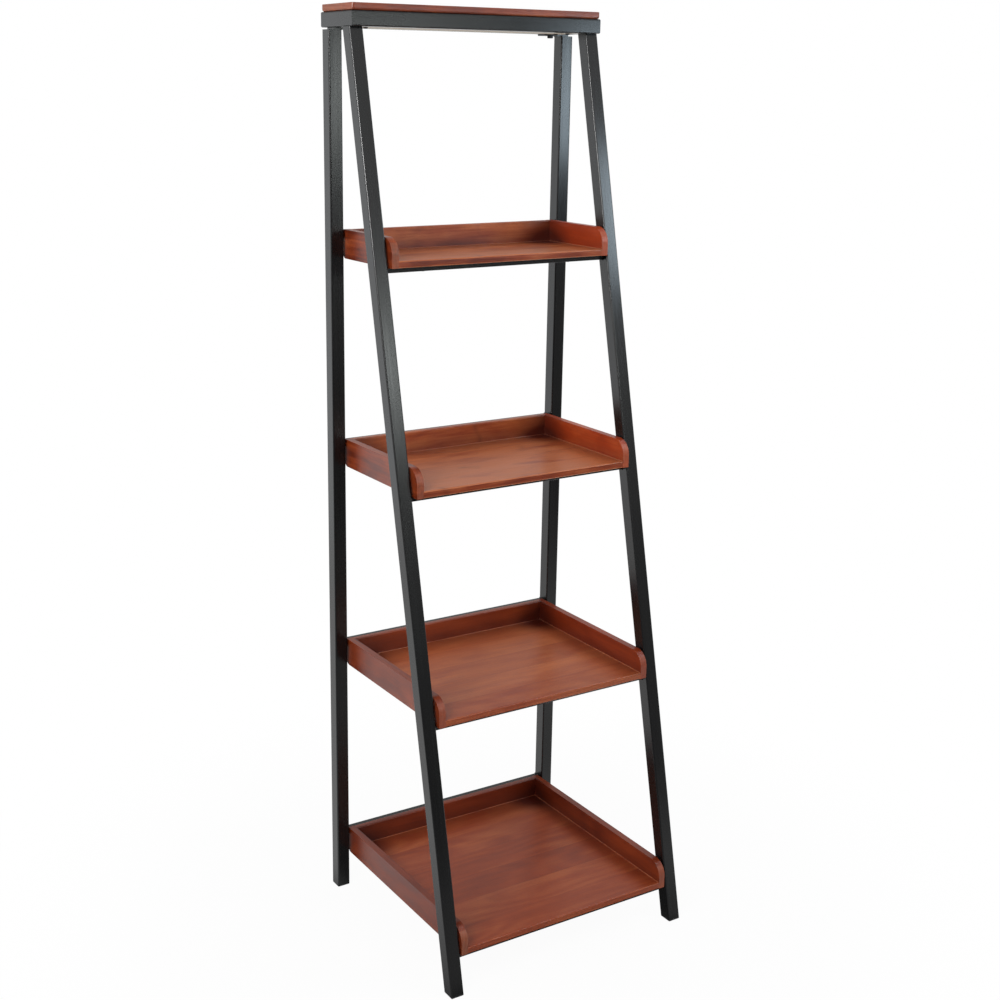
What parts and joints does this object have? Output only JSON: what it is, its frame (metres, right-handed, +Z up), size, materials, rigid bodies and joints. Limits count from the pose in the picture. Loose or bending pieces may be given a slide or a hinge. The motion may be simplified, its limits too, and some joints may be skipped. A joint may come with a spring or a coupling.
{
  "type": "ladder shelf",
  "caption": "Freestanding ladder shelf: open-fronted stained wood trays, deeper towards the floor, in a leaning square steel tube frame with a narrow wooden top.",
  "frame": {"origin": "on the floor, at the middle of the shelf's outline seen from above", "axes": "+X to the right seen from the front, +Y towards the wall behind the shelf, +Z up"},
  "size_m": [0.5, 0.4504, 1.634],
  "materials": {
    "black_steel": "satin black powder coat on square steel tube",
    "stained_wood": "reddish brown mahogany stain with satin lacquer, grain along X",
    "raw_wood": "bare pale softwood",
    "fasteners": "black coated steel",
    "black_plastic": "matte black moulded plastic"
  },
  "bodies": {
    "root": {"front_leg_left": "black_steel", "rear_leg_left": "black_steel", "front_foot_left": "black_plastic", "rear_foot_left": "black_plastic", "top_left_rail": "black_steel", "top_bracket_left": "black_steel", "front_leg_right": "black_steel", "rear_leg_right": "black_steel", "front_foot_right": "black_plastic", "rear_foot_right": "black_plastic", "top_right_rail": "black_steel", "top_bracket_right": "black_steel", "top_front_rail": "black_steel", "top_back_rail": "black_steel", "top_board": "stained_wood", "top_core": "raw_wood", "bracket_bolts": "fasteners", "front_bar_1": "black_steel", "rear_bar_1": "black_steel", "tray_1_left_side": "stained_wood", "tray_1_right_side": "stained_wood", "tray_1_back": "stained_wood", "tray_1_floor": "stained_wood", "front_bar_2": "black_steel", "rear_bar_2": "black_steel", "tray_2_left_side": "stained_wood", "tray_2_right_side": "stained_wood", "tray_2_back": "stained_wood", "tray_2_floor": "stained_wood", "front_bar_3": "black_steel", "rear_bar_3": "black_steel", "tray_3_left_side": "stained_wood", "tray_3_right_side": "stained_wood", "tray_3_back": "stained_wood", "tray_3_floor": "stained_wood", "front_bar_4": "black_steel", "rear_bar_4": "black_steel", "tray_4_left_side": "stained_wood", "tray_4_right_side": "stained_wood", "tray_4_back": "stained_wood", "tray_4_floor": "stained_wood"}
  },
  "joints": []
}
